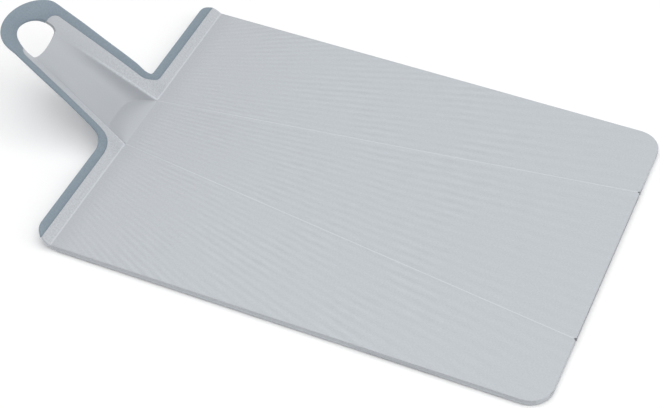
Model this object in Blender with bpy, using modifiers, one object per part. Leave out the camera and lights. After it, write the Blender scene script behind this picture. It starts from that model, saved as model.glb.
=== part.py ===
"""Folding chopping board: a flat plastic board with two living hinges and a scooped, tilted handle.

Units are metres. While it is modelled, the board's top face is z = 0, the crease between board
and handle is the line x = 0, the board runs to +X and the handle to -X. The left side is +Y.
The whole model is then set down with its origin under the middle of its bounding box.
"""

import math

import bmesh
import bpy
from mathutils import Matrix, Vector

# Board
BOARD_WIDTH = 0.270
BOARD_LENGTH = 0.355  # from the crease to the pouring edge
PANEL_THICKNESS = 0.0042
FAR_CORNER_RADIUS = 0.017
EDGE_ROUNDING = 0.0005

# Living hinges: two straight lines that spread from the handle to the pouring edge
HINGE_HALF_AT_CREASE = 0.0251
HINGE_HALF_AT_POURING_EDGE = 0.0735
HINGE_WEB_WIDTH = 0.0009
HINGE_WEB_THICKNESS = 0.0005
HINGE_CHAMFER = 0.0016  # half width that the groove under a web gains by the underside

# Handle, measured in its tilted plane from the crease
HANDLE_TILT = math.radians(35.2)
HANDLE_LENGTH = 0.1221
HANDLE_HALF_AT_CREASE = 0.0384
HANDLE_TAPER = 0.092  # half width lost per metre of handle
TIP_LENGTH = 0.0211  # the handle's rounded end, a flattened half ellipse
SHELL_THICKNESS = 0.0019
LIP_DEPTH = 0.0079  # bare lip between the crease and the soft rim
BEND_RADIUS = 0.014  # under the crease, where a side panel turns up into its lip

# Scoop of the handle: a deep floor between two ridges, then flanks that rise to the rim
RIDGE_HALF_AT_TIP = 0.0106
RIDGE_DROP_AT_TIP = 0.0052
SCOOP_DEPTH_AT_CREASE = 0.0127
SCOOP_DEPTH_AT_TIP = 0.0054
SCOOP_POWER_AT_CREASE = 5.0  # how square the floor's section is
SCOOP_POWER_AT_TIP = 2.4
SCOOP_POWER_FADE = (0.042, 0.078)  # places along the handle between which it gets rounder
FLANK_SLOPE = 0.70  # next to the ridge, near the crease
FLANK_SLOPE_GAIN = 1.4  # added per metre towards the tip
FLANK_CURVE = 16.5  # how fast a flank flattens outwards, per metre
FLANK_RISE_LENGTH = 0.015  # the flanks grow out of the crease over a few times this length
LIP_BLEND = (0.033, 0.044)  # half widths between which a flank runs out into the flat lip
LIP_BLEND_END = (0.016, 0.030)  # places along the handle where that run-out fades away

# The tip turns over: it bends down along a short curve, then runs straight
CURL_START = 0.098
CURL_LENGTH = 0.010
CURL_SLOPE = 0.52

# Soft rim
RIM_WIDTH = 0.0059  # along the handle
SHOULDER_RIM_WIDTH = 0.0063
RIM_PROUD = 0.0003
NOTCH_RADIUS = 0.009
SHOULDER_CORNER_RADIUS = 0.0115

# Hanging hole and the bare shell's end beside it
HOLE_RADIUS = 0.0172
HOLE_LENGTH = 0.0242
HOLE_TIP_MARGIN = 0.0119
HOLE_BASE_RADIUS = 0.057
HOLE_CORNER_RADIUS = 0.003
SHELL_END_MARGIN = 0.0125  # how far past the hole's base the bare shell runs beside the hole
SHELL_END_RADIUS = 0.004

# Feet
FOOT_DIAMETER = 0.014
FOOT_POCKET_DEPTH = 0.0012
FOOT_STAND_OFF = 0.0008
FOOT_EDGE_DISTANCE = 0.020
FOOT_END_DISTANCE = 0.026

# Running and fitting gaps
GAP = 0.0003
ARC_STEPS = 10

PLASTIC = {"color": (0.50, 0.55, 0.58), "roughness": 0.55}
SOFT_RIM = {"color": (0.27, 0.33, 0.38), "roughness": 0.70}
WEB = {"color": (0.56, 0.61, 0.64), "roughness": 0.45}
FOOT = {"color": (0.27, 0.33, 0.38), "roughness": 0.80}

# What follows from them
HALF_WIDTH = BOARD_WIDTH / 2
HINGE_SPREAD = (HINGE_HALF_AT_POURING_EDGE - HINGE_HALF_AT_CREASE) / BOARD_LENGTH
HINGE_EDGE = HINGE_WEB_WIDTH / 2 + GAP
SHOULDER_DEPTH = LIP_DEPTH + SHOULDER_RIM_WIDTH
FLEX_LENGTH = SHOULDER_DEPTH + NOTCH_RADIUS + GAP
FLEX_HALF = HANDLE_HALF_AT_CREASE + NOTCH_RADIUS + GAP
SKIN_HALF = FLEX_HALF + 0.004
SKIN_LENGTH = HANDLE_LENGTH + 0.004
HOLE_BASE = HANDLE_LENGTH - HOLE_TIP_MARGIN - HOLE_LENGTH
SHELL_END = HOLE_BASE + SHELL_END_MARGIN
FLOOR_Z = -PANEL_THICKNESS - FOOT_STAND_OFF
FAN_CENTRE = HANDLE_LENGTH - HOLE_TIP_MARGIN - HOLE_RADIUS
TALL = 0.2  # height of the prisms that cut a blank to its outline


def clear_scene():
    for thing in list(bpy.data.objects):
        bpy.data.objects.remove(thing, do_unlink=True)


def new_collection(name):
    collection = bpy.data.collections.new(name)
    bpy.context.scene.collection.children.link(collection)
    return collection


clear_scene()
PARTS = new_collection("folding_chopping_board")
CUTTERS = new_collection("cutters")
ROOT = bpy.data.objects.new("board_frame", None)
PARTS.objects.link(ROOT)
HANDLE_FRAME = bpy.data.objects.new("handle_frame", None)
PARTS.objects.link(HANDLE_FRAME)
HANDLE_FRAME.parent = ROOT
HANDLE_FRAME.rotation_euler = (0, HANDLE_TILT, 0)


def make_material(name, look):
    material = bpy.data.materials.new(name)
    material.use_nodes = True
    shader = material.node_tree.nodes["Principled BSDF"]
    shader.inputs["Base Color"].default_value = (*look["color"], 1)
    shader.inputs["Roughness"].default_value = look["roughness"]
    shader.inputs["Metallic"].default_value = 0
    return material


def add_piece(name, mesh, look, parent=ROOT):
    piece = bpy.data.objects.new(name, mesh)
    PARTS.objects.link(piece)
    piece.parent = parent
    piece.data.materials.append(make_material(name, look))
    return piece


def add_cutter(name, mesh, parent=ROOT):
    cutter = bpy.data.objects.new(name, mesh)
    CUTTERS.objects.link(cutter)
    cutter.parent = parent
    cutter.hide_render = True
    cutter.display_type = "WIRE"
    return cutter


def boolean(piece, cutter, operation):
    modifier = piece.modifiers.new(f"{operation.lower()}_{cutter.name}", "BOOLEAN")
    modifier.object = cutter
    modifier.operation = operation
    modifier.solver = "EXACT"


def round_edges(piece, width, angle):
    bevel = piece.modifiers.new("round_edges", "BEVEL")
    bevel.width = width
    bevel.segments = 2
    bevel.limit_method = "ANGLE"
    bevel.angle_limit = math.radians(angle)


# Outlines


def rounded(corners, steps=ARC_STEPS):
    """Points of a closed polygon whose corners (x, y, radius) are rounded."""
    points = []
    for index, (x, y, radius) in enumerate(corners):
        here = Vector((x, y))
        if radius <= 0:
            points.append(here)
            continue
        before = (Vector(corners[index - 1][:2]) - here).normalized()
        after = (Vector(corners[(index + 1) % len(corners)][:2]) - here).normalized()
        half = before.angle(after) / 2
        tangent = radius / math.tan(half)
        centre = here + (before + after).normalized() * radius / math.sin(half)
        start = here + before * tangent - centre
        sweep = start.angle_signed(here + after * tangent - centre)
        for step in range(steps + 1):
            points.append(centre + Matrix.Rotation(-sweep * step / steps, 2) @ start)
    return points


def prism(name, points, low, high):
    """A mesh of a flat outline, standing from low to high."""
    curve = bpy.data.curves.new(name, "CURVE")
    curve.dimensions = "2D"
    curve.fill_mode = "BOTH"
    curve.extrude = (high - low) / 2
    spline = curve.splines.new("POLY")
    spline.points.add(len(points) - 1)
    for spot, point in zip(spline.points, points):
        spot.co = (point[0], point[1], 0, 1)
    spline.use_cyclic_u = True
    holder = bpy.data.objects.new(name, curve)
    bpy.context.scene.collection.objects.link(holder)
    graph = bpy.context.evaluated_depsgraph_get()
    mesh = bpy.data.meshes.new_from_object(holder.evaluated_get(graph))
    bpy.data.objects.remove(holder, do_unlink=True)
    bpy.data.curves.remove(curve)
    mesh.name = name
    shape = bmesh.new()
    shape.from_mesh(mesh)
    bmesh.ops.remove_doubles(shape, verts=shape.verts, dist=1e-6)
    bmesh.ops.translate(shape, verts=shape.verts, vec=(0, 0, (high + low) / 2))
    bmesh.ops.recalc_face_normals(shape, faces=shape.faces)
    shape.to_mesh(mesh)
    shape.free()
    return mesh


def join_flat_faces(mesh):
    """Makes each end of a prism one flat face, so that a bevel follows its outline evenly."""
    shape = bmesh.new()
    shape.from_mesh(mesh)
    bmesh.ops.dissolve_limit(shape, angle_limit=0.001, verts=shape.verts, edges=shape.edges)
    shape.to_mesh(mesh)
    shape.free()


def mirrored(corners):
    """The corners on one side of the centre line, then the same on the other side."""
    return corners + [(x, -y, radius) for x, y, radius in reversed(corners)]


def to_side(points, side):
    return [(point[0], side * point[1]) for point in points]


# Lines that the pieces share


def hinge_half(x):
    return HINGE_HALF_AT_CREASE + HINGE_SPREAD * x


def ridge_half(s):
    return HINGE_HALF_AT_CREASE + (RIDGE_HALF_AT_TIP - HINGE_HALF_AT_CREASE) * s / HANDLE_LENGTH


def rim_outer(s):
    return HANDLE_HALF_AT_CREASE - HANDLE_TAPER * s


def rim_inner(s):
    return rim_outer(s) - RIM_WIDTH


def smooth_step(value, low, high):
    t = min(max((value - low) / (high - low), 0.0), 1.0)
    return t * t * (3 - 2 * t)


def flank_rise(s, beyond):
    """How far a flank stands over its ridge, beyond being the distance outwards from the ridge."""
    growth = 1 - math.exp(-s / FLANK_RISE_LENGTH)
    slope = (FLANK_SLOPE + FLANK_SLOPE_GAIN * s) * growth
    return slope * beyond * (1 - FLANK_CURVE * beyond)


def curl_drop(s):
    """How far the tip has turned down, at s from the crease."""
    into = min(max(s - CURL_START, 0.0), CURL_LENGTH)
    return CURL_SLOPE * (into * into / (2 * CURL_LENGTH) + max(s - CURL_START - CURL_LENGTH, 0.0))


def scoop_height(s, w):
    """Height of the handle's top face over its plane, at s from the crease and w from the middle."""
    w = abs(w)
    if s > FAN_CENTRE:
        # past the hole's centre the flanks meet by fanning round it
        w = max(math.hypot(s - FAN_CENTRE, w), ridge_half(FAN_CENTRE))
    at = min(s, FAN_CENTRE)
    ridge = ridge_half(at)
    ridge_height = -RIDGE_DROP_AT_TIP * at / HANDLE_LENGTH
    floor_depth = SCOOP_DEPTH_AT_CREASE + (SCOOP_DEPTH_AT_TIP - SCOOP_DEPTH_AT_CREASE) * at / HANDLE_LENGTH
    if w < ridge:
        rounder = smooth_step(at, *SCOOP_POWER_FADE)
        power = SCOOP_POWER_AT_CREASE + (SCOOP_POWER_AT_TIP - SCOOP_POWER_AT_CREASE) * rounder
        return -floor_depth + (floor_depth + ridge_height) * (w / ridge) ** power
    into_lip = smooth_step(w, *LIP_BLEND) * (1 - smooth_step(s, *LIP_BLEND_END))
    return (ridge_height + flank_rise(at, w - ridge)) * (1 - into_lip) - curl_drop(s)


# Boards


def bent_profile():
    """Section of a side panel, in X and Z: the flat panel and the lip that turns up at the crease."""
    lip_end = LIP_DEPTH - GAP / 2
    along = Vector((-math.cos(HANDLE_TILT), math.sin(HANDLE_TILT)))
    down = Vector((-math.sin(HANDLE_TILT), -math.cos(HANDLE_TILT)))
    reach = BOARD_LENGTH + 0.01
    root_of_lip = (SHELL_THICKNESS * math.cos(HANDLE_TILT) - PANEL_THICKNESS) / math.sin(HANDLE_TILT)
    bend = along * root_of_lip + down * SHELL_THICKNESS
    corners = [
        (reach, 0, 0),
        (0, 0, 0),
        (*(along * lip_end), 0),
        (*(along * lip_end + down * SHELL_THICKNESS), 0),
        (*bend, BEND_RADIUS),
        (reach, -PANEL_THICKNESS, 0),
    ]
    return rounded(corners, 6)


def side_outline(side):
    """Plan of a side panel: out along the hinge, round the far corner and back to the lip.

    It is drawn with the lip unfolded, and then the lip is shortened as its tilt makes it look.
    """
    lip_reach = -SHOULDER_DEPTH
    corners = [
        (GAP / 2, hinge_half(0) + HINGE_EDGE, 0),
        (BOARD_LENGTH, hinge_half(BOARD_LENGTH) + HINGE_EDGE, 0),
        (BOARD_LENGTH, HALF_WIDTH, FAR_CORNER_RADIUS),
        (lip_reach, HALF_WIDTH, SHOULDER_CORNER_RADIUS),
        (lip_reach, FLEX_HALF + GAP / 2, 0),
        (GAP / 2, FLEX_HALF + GAP / 2, 0),
    ]
    shrink = math.cos(HANDLE_TILT)
    folded = [(x * shrink if x < 0 else x, y) for x, y in rounded(corners)]
    return to_side(folded, side)


def groove_cutter(name, side):
    """The wedge cut along a living hinge from below, which leaves room for the fold."""
    top = -HINGE_WEB_THICKNESS - GAP
    bottom = -PANEL_THICKNESS - 0.001
    spread = HINGE_CHAMFER * (top - bottom) / (top + PANEL_THICKNESS)
    wedge = [
        (-HINGE_EDGE, top),
        (HINGE_EDGE, top),
        (HINGE_EDGE + spread, bottom),
        (-HINGE_EDGE - spread, bottom),
    ]
    reach = BOARD_LENGTH * 1.2
    mesh = prism(name, wedge, -reach * 0.1, reach)
    angle = math.atan(side * HINGE_SPREAD)
    stand = Matrix(((0, 0, 1, 0), (1, 0, 0, 0), (0, 1, 0, 0), (0, 0, 0, 1)))
    mesh.transform(Matrix.Rotation(angle, 4, "Z") @ stand)
    cutter = add_cutter(name, mesh)
    cutter.location = (0, side * HINGE_HALF_AT_CREASE, 0)
    return cutter


def foot_spots():
    """Name, body side and place of each foot."""
    near = FOOT_END_DISTANCE
    far = BOARD_LENGTH - FOOT_END_DISTANCE
    out = HALF_WIDTH - FOOT_EDGE_DISTANCE
    return [
        ("left_near_foot", 1, near, out),
        ("left_far_foot", 1, far, out),
        ("right_near_foot", -1, near, -out),
        ("right_far_foot", -1, far, -out),
        ("middle_near_foot", 0, near, 0),
        ("middle_far_foot", 0, far, 0),
    ]


def disc(name, radius, low, high):
    bpy.ops.mesh.primitive_cylinder_add(vertices=32, radius=radius, depth=high - low)
    holder = bpy.context.object
    mesh = holder.data
    bpy.data.objects.remove(holder, do_unlink=True)
    mesh.transform(Matrix.Translation((0, 0, (high + low) / 2)))
    mesh.name = name
    return mesh


def build_feet(panels):
    ceiling = -PANEL_THICKNESS + FOOT_POCKET_DEPTH
    for name, side, x, y in foot_spots():
        pocket = add_cutter(
            f"{name}_pocket", disc(f"{name}_pocket", FOOT_DIAMETER / 2 + GAP, FLOOR_Z, ceiling)
        )
        pocket.location = (x, y, 0)
        boolean(panels[side], pocket, "DIFFERENCE")
        foot = add_piece(name, disc(name, FOOT_DIAMETER / 2, FLOOR_Z, ceiling - GAP), FOOT)
        foot.location = (x, y, 0)
        foot.data.shade_smooth()
        foot.data.set_sharp_from_angle(angle=math.radians(40))
        round_edges(foot, EDGE_ROUNDING, 60)


def build_side_panel(name, side):
    profile = bent_profile()
    mesh = prism(name, profile, 0, HALF_WIDTH + 0.01)
    upright = Matrix(((1, 0, 0, 0), (0, 0, side, 0), (0, 1, 0, 0), (0, 0, 0, 1)))
    mesh.transform(upright)
    if upright.determinant() < 0:
        mesh.flip_normals()
    panel = add_piece(name, mesh, PLASTIC)
    outline = add_cutter(f"{name}_outline", prism(f"{name}_outline", side_outline(side), -TALL / 2, TALL / 2))
    boolean(panel, outline, "INTERSECT")
    round_edges(panel, EDGE_ROUNDING, 60)
    boolean(panel, groove_cutter(f"{name}_groove", side), "DIFFERENCE")
    return panel


def build_centre_panel():
    near = hinge_half(0) - HINGE_EDGE
    far = hinge_half(BOARD_LENGTH) - HINGE_EDGE
    outline = [(GAP / 2, -near), (BOARD_LENGTH, -far), (BOARD_LENGTH, far), (GAP / 2, near)]
    panel = add_piece("centre_panel", prism("centre_panel", outline, -PANEL_THICKNESS, 0), PLASTIC)
    round_edges(panel, EDGE_ROUNDING, 60)
    for side, word in ((1, "left"), (-1, "right")):
        boolean(panel, groove_cutter(f"centre_{word}_groove", side), "DIFFERENCE")
    return panel


def build_hinge_web(name, side):
    """The thin strip of plastic that bends along a hinge line."""
    half = HINGE_WEB_WIDTH / 2
    corners = []
    for x, step in ((GAP / 2, -half), (BOARD_LENGTH, -half), (BOARD_LENGTH, half), (GAP / 2, half)):
        corners.append((x, side * (hinge_half(x) + step)))
    add_piece(name, prism(name, corners, -HINGE_WEB_THICKNESS, 0), WEB)


# Handle


def section_places(s):
    """Where a section of the handle has its points: close on the scoop's wall, wider on the flank."""
    ridge = ridge_half(min(s, FAN_CENTRE))
    half = [ridge * share for share in (0.0, 0.22, 0.42, 0.58, 0.71, 0.82, 0.91, 1.0)]
    half += [ridge + (SKIN_HALF - ridge) * share for share in (0.14, 0.28, 0.42, 0.56, 0.70, 0.84, 1.0)]
    return [-w for w in reversed(half[1:])] + half


def skin_mesh(name, lift):
    """The handle's top face as a loft of its sections, raised by lift."""
    rows = 42
    shape = bmesh.new()
    grid = []
    for row in range(rows + 1):
        s = SKIN_LENGTH * row / rows
        grid.append([shape.verts.new((-s, w, scoop_height(s, w) + lift)) for w in section_places(s)])
    for near, far in zip(grid, grid[1:]):
        for left in range(len(near) - 1):
            shape.faces.new((near[left], near[left + 1], far[left + 1], far[left]))
    # the patches are twisted, and the Booleans need flat faces
    bmesh.ops.triangulate(shape, faces=shape.faces)
    bmesh.ops.recalc_face_normals(shape, faces=shape.faces)
    if sum(face.normal.z for face in shape.faces) < 0:
        bmesh.ops.reverse_faces(shape, faces=shape.faces)
    mesh = bpy.data.meshes.new(name)
    shape.to_mesh(mesh)
    shape.free()
    return mesh


def build_skin(name, look, lift, thickness, outline):
    """A piece of the scooped handle: the lofted face, given its wall and cut to its outline."""
    piece = add_piece(name, skin_mesh(name, lift), look, HANDLE_FRAME)
    wall = piece.modifiers.new("wall", "SOLIDIFY")
    wall.thickness = thickness
    wall.offset = -1
    wall.use_even_offset = True
    cutter_name = f"{name}_outline"
    cutter = add_cutter(cutter_name, prism(cutter_name, outline, -TALL, TALL), HANDLE_FRAME)
    boolean(piece, cutter, "INTERSECT")
    piece.data.shade_smooth()
    piece.data.set_sharp_from_angle(angle=math.radians(35))
    return piece


def handle_outline():
    """Plan of the handle beyond the part that flexes: straight sides and a flattened round end."""
    start = HANDLE_LENGTH - TIP_LENGTH
    half = rim_outer(start)
    points = [(-FLEX_LENGTH, rim_outer(FLEX_LENGTH))]
    steps = 4 * ARC_STEPS
    for step in range(steps + 1):
        turn = math.pi * step / steps
        points.append((-start - TIP_LENGTH * math.sin(turn), half * math.cos(turn)))
    points.append((-FLEX_LENGTH, -rim_outer(FLEX_LENGTH)))
    return points


def shell_outline(grow):
    """Plan of the bare shell, whose edge the rim follows: grow moves its outer edge outwards."""
    start = ridge_half(0) - GAP / 2
    flex_ridge = ridge_half(FLEX_LENGTH) - GAP / 2
    corners = [
        (0.01, start, 0),
        (-FLEX_LENGTH + grow, flex_ridge, 0),
        (-FLEX_LENGTH + grow, rim_inner(FLEX_LENGTH) + grow, 0),
        (-SHELL_END - grow, rim_inner(SHELL_END) + grow, SHELL_END_RADIUS),
    ]
    return rounded(mirrored(corners))


def hole_outline():
    """The hanging hole: a round whose side towards the board is a flatter arc."""
    centre = -FAN_CENTRE
    base_centre = -HOLE_BASE - HOLE_BASE_RADIUS
    # where the two circles meet
    span = centre - base_centre
    along = (span**2 + HOLE_RADIUS**2 - HOLE_BASE_RADIUS**2) / (2 * span)
    meet_angle = math.acos(-along / HOLE_RADIUS)
    meet_y = HOLE_RADIUS * math.sin(meet_angle)
    base_angle = math.asin(meet_y / HOLE_BASE_RADIUS)
    points = []
    steps = 3 * ARC_STEPS + 1
    for step in range(steps + 1):
        turn = meet_angle + (2 * math.pi - 2 * meet_angle) * step / steps
        points.append((centre + HOLE_RADIUS * math.cos(turn), HOLE_RADIUS * math.sin(turn)))
    steps = ARC_STEPS + 1
    for step in range(1, steps):
        turn = -base_angle + 2 * base_angle * step / steps
        points.append((base_centre + HOLE_BASE_RADIUS * math.cos(turn), HOLE_BASE_RADIUS * math.sin(turn)))
    return points


def build_hole():
    hole = add_cutter("hanging_hole", prism("hanging_hole", hole_outline(), -TALL, TALL), HANDLE_FRAME)
    soften = hole.modifiers.new("corners", "BEVEL")
    soften.width = HOLE_CORNER_RADIUS * 0.5
    soften.segments = 4
    soften.limit_method = "ANGLE"
    soften.angle_limit = math.radians(40)
    return hole


def ramp_reach(w):
    """How far from the crease the flat ramp runs before the scoop's wall rises out of it."""
    low, high = 0.0, FLEX_LENGTH * 2
    for _ in range(40):
        middle = (low + high) / 2
        if scoop_height(middle, w) > -middle * math.tan(HANDLE_TILT):
            high = middle
        else:
            low = middle
    return high / math.cos(HANDLE_TILT)


def build_ramp():
    """The flat of the board that runs on into the scoop, with the curved end that the wall gives it."""
    inside = SHELL_THICKNESS * 0.4
    half = ridge_half(0) - GAP / 2 - inside
    steps = 16
    points = [(-GAP / 2, -half)]
    for step in range(steps + 1):
        w = half * (2 * step / steps - 1)
        points.append((-ramp_reach(w) - inside, w))
    points.append((-GAP / 2, half))
    return add_cutter("ramp", prism("ramp", points, -PANEL_THICKNESS, 0))


def box_mesh(name, low, high):
    shape = bmesh.new()
    bmesh.ops.create_cube(shape, size=1)
    size = Vector(high) - Vector(low)
    bmesh.ops.scale(shape, verts=shape.verts, vec=size)
    bmesh.ops.translate(shape, verts=shape.verts, vec=(Vector(low) + Vector(high)) / 2)
    mesh = bpy.data.meshes.new(name)
    shape.to_mesh(mesh)
    shape.free()
    return mesh


def build_handle_shell(hole):
    shell = build_skin("handle_shell", PLASTIC, 0, SHELL_THICKNESS, shell_outline(-GAP / 2))
    boolean(shell, hole, "DIFFERENCE")
    under = box_mesh("under_board", (-TALL, -TALL, -TALL), (TALL, TALL, -PANEL_THICKNESS))
    boolean(shell, add_cutter("under_board", under), "DIFFERENCE")
    beyond = box_mesh("board_side", (-GAP / 2, -TALL, -TALL), (TALL, TALL, TALL))
    boolean(shell, add_cutter("board_side", beyond), "DIFFERENCE")
    boolean(shell, build_ramp(), "UNION")


def build_handle_rim(hole):
    """The soft rim round the handle's sides and end, which also lines the tip side of the hole."""
    thickness = SHELL_THICKNESS + 2 * RIM_PROUD
    rim = build_skin("handle_rim", SOFT_RIM, RIM_PROUD, thickness, handle_outline())
    inner = prism("rim_inside", shell_outline(GAP / 2), -TALL, TALL)
    boolean(rim, add_cutter("rim_inside", inner, HANDLE_FRAME), "DIFFERENCE")
    boolean(rim, hole, "DIFFERENCE")


def build_gusset(name, side):
    """The corner of the shell that flexes between the lip and the handle's flank."""
    inner_radius = NOTCH_RADIUS + RIM_WIDTH
    end = FLEX_LENGTH - GAP
    edge = LIP_DEPTH - GAP / 2
    corners = [
        (-GAP / 2, ridge_half(0) + GAP / 2, 0),
        (-end, ridge_half(end) + GAP / 2, 0),
        (-end, rim_inner(end) - GAP / 2, 0),
        (-edge, rim_inner(edge) - GAP / 2, inner_radius),
        (-edge, FLEX_HALF - GAP / 2, 0),
        (-GAP / 2, FLEX_HALF - GAP / 2, 0),
    ]
    gusset = build_skin(name, PLASTIC, 0, SHELL_THICKNESS, to_side(rounded(corners), side))
    boolean(gusset, bpy.data.objects["board_side"], "DIFFERENCE")


def build_rim_corner(name, side):
    """The soft rim round the inside of the notch, which flexes with the gusset."""
    inner_radius = NOTCH_RADIUS + RIM_WIDTH
    end = FLEX_LENGTH - GAP
    edge = LIP_DEPTH + GAP / 2
    corners = [
        (-SHOULDER_DEPTH, FLEX_HALF - GAP / 2, 0),
        (-SHOULDER_DEPTH, rim_outer(SHOULDER_DEPTH), NOTCH_RADIUS),
        (-end, rim_outer(end), 0),
        (-end, rim_inner(end) + GAP / 2, 0),
        (-edge, rim_inner(edge) + GAP / 2, inner_radius - GAP),
        (-edge, FLEX_HALF - GAP / 2, 0),
    ]
    outline = to_side(rounded(corners), side)
    build_skin(name, SOFT_RIM, RIM_PROUD, SHELL_THICKNESS + 2 * RIM_PROUD, outline)


def shoulder_outline():
    """Plan of a shoulder's rim, whose outer corner is the rest of the arc that starts on the lip."""
    edge = LIP_DEPTH + GAP / 2
    radius = SHOULDER_CORNER_RADIUS
    centre = Vector((radius - SHOULDER_DEPTH, HALF_WIDTH - radius))
    first = math.asin((edge + centre.x) / radius)
    points = [(-edge, FLEX_HALF + GAP / 2), (-SHOULDER_DEPTH, FLEX_HALF + GAP / 2)]
    for step in range(ARC_STEPS + 1):
        turn = math.pi / 2 - (math.pi / 2 - first) * step / ARC_STEPS
        points.append((centre.x - radius * math.sin(turn), centre.y + radius * math.cos(turn)))
    return points


def build_shoulder_rim(name, side):
    mesh = prism(name, to_side(shoulder_outline(), side), -SHELL_THICKNESS - RIM_PROUD, RIM_PROUD)
    join_flat_faces(mesh)
    rim = add_piece(name, mesh, SOFT_RIM, HANDLE_FRAME)
    round_edges(rim, EDGE_ROUNDING, 60)


def set_down():
    """Puts the origin under the middle of the bounding box, where the feet stand."""
    bpy.context.view_layer.update()
    graph = bpy.context.evaluated_depsgraph_get()
    spots = []
    for piece in PARTS.objects:
        if piece.type != "MESH":
            continue
        shape = piece.evaluated_get(graph)
        spots += [shape.matrix_world @ vert.co for vert in shape.data.vertices]
    low = [min(spot[axis] for spot in spots) for axis in range(3)]
    high = [max(spot[axis] for spot in spots) for axis in range(3)]
    ROOT.location = (-(low[0] + high[0]) / 2, -(low[1] + high[1]) / 2, -low[2])


def main():
    panels = {
        0: build_centre_panel(),
        1: build_side_panel("left_panel", 1),
        -1: build_side_panel("right_panel", -1),
    }
    build_feet(panels)
    build_hinge_web("left_hinge_web", 1)
    build_hinge_web("right_hinge_web", -1)
    hole = build_hole()
    build_handle_shell(hole)
    build_handle_rim(hole)
    for word, side in (("left", 1), ("right", -1)):
        build_gusset(f"{word}_gusset", side)
        build_rim_corner(f"{word}_rim_corner", side)
        build_shoulder_rim(f"{word}_shoulder_rim", side)
    set_down()


main()
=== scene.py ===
import math

import bmesh
import bpy
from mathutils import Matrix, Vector


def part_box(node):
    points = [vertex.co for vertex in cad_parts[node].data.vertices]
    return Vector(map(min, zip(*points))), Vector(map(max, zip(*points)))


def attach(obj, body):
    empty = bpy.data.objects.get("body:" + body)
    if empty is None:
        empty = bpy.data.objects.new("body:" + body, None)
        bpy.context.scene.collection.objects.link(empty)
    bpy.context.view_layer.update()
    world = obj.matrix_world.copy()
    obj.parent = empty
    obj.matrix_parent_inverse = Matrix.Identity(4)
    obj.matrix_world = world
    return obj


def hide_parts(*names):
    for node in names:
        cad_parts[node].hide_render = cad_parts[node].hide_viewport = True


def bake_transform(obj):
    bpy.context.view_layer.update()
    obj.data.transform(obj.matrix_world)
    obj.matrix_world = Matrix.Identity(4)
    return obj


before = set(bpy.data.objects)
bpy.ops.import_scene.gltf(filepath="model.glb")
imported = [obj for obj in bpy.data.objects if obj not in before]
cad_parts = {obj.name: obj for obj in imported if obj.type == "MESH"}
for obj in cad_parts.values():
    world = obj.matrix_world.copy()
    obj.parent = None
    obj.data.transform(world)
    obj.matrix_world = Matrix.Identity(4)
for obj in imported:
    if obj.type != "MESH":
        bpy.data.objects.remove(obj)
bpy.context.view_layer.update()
scene = bpy.context.scene
scene.view_settings.view_transform = "Standard"

# Shapes are worked out in millimetres, from the middle of the crease between board and handle, on the
# board's top: s runs up the handle and is negative on the board, w is the distance from the middle line
# and n the height over the surface. A shape is first laid out flat, as (s, w, n), and then folded.
mm = 0.001
halfGap = 0.15  # the CAD's middle panel stops this far short of the crease
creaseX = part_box("centre_panel")[0].x / mm - halfGap
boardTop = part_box("centre_panel")[1].z / mm
sides = ((1, "left"), (-1, "right"))

board = {
    "length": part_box("centre_panel")[1].x / mm - creaseX,
    "half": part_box("left_panel")[1].y / mm,
    "thickness": 4.2,
    "farRadius": 17.0,
    "edgeRound": 0.5,
}
hinge = {
    "near": 25.1,  # distance from the middle line at the crease
    "far": 73.5,  # and at the pouring edge
    "slot": 0.42,  # from the hinge's middle to the panel beside it
    "edgeRound": 0.2,
    "underCut": 1.6,  # how much further off the panel is underneath
    "underCutTop": 0.8,  # the depth at which that starts
    "underCutReach": 0.7,  # how near the slot a point has to be to move with it
    "underCutFade": 4.0,  # a side board gets it over this stretch from the crease
    "web": 0.5,
    "sunk": 0.1,
    "overlap": 0.15,  # how far the strip runs into the panels
    "nickDepth": 1.5,  # the nick in the pouring edge where a hinge ends
    "nickFlare": 0.55,
}
handle = {
    "tilt": math.radians(35.2),
    "length": 122.1,
    "tipLength": 21.1,
    "halfAtCrease": 38.4,
    "taper": 0.092,
    "thickness": 1.9,
    "steepest": 1.8,  # a wall steeper than this gets no thicker when measured upright
    "creaseRadius": 2.0,
    "underTurn": (-6.0, 8.0),  # the underside turns up between these places
    "lip": 7.9,  # bare lip between the crease and the soft rim
    "ridgeNear": 25.1,
    "ridgeTip": 10.6,
    "ridgeDrop": 5.2,
    "ridgeRound": 0.6,
    "depthNear": 12.7,
    "depthTip": 5.4,
    "floorPower": 5.0,  # how square the scoop's section is near the crease
    "floorPowerTip": 2.4,
    "floorPowerFade": (42.0, 78.0),
    "flankSlope": 0.70,
    "flankGain": 0.0014,
    "flankCurve": 0.0165,
    "flankGrowth": 15.0,
    "lipBlend": (33.0, 44.0),
    "lipBlendEnd": (16.0, 30.0),
    "curlStart": 98.0,
    "curlLength": 10.0,
    "curlSlope": 0.52,
    "wallFoot": -1.5,  # the scoop's wall goes on below the ramp's top to this height
    "rampOverlap": 2.5,  # and the ramp runs on under the wall by this much
    "levelFrom": 30.0,  # rungs beyond this place run straight across the scoop
    "levelEnd": 78.0,  # and from here on they fan round the hole
    "leastScoop": 0.14,  # the least share of such a rung that lies in the scoop
}
rim = {
    "width": 5.9,
    "shoulderWidth": 6.3,
    "proud": 0.3,
    "proudUnder": 0.65,
    "notchRadius": 9.0,
    "shoulderRadius": 11.5,
    "flare": (0.25, 0.55),  # how much it is wider than its width, along the handle and more at the tip
    "flareNear": (14.0, 30.0),  # where the first of these comes in
    "flareTip": (50.0, 82.0),  # and the second
    "outerRound": 1.0,
    "crown": 0.25,  # how much lower the edges of its face lie than the middle
    "innerRound": 0.5,
    "holeRound": 0.9,
    "holeRoundRun": (0.3, 10.0),  # the rounding at the hole grows over this stretch from the shell's end
}
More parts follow.
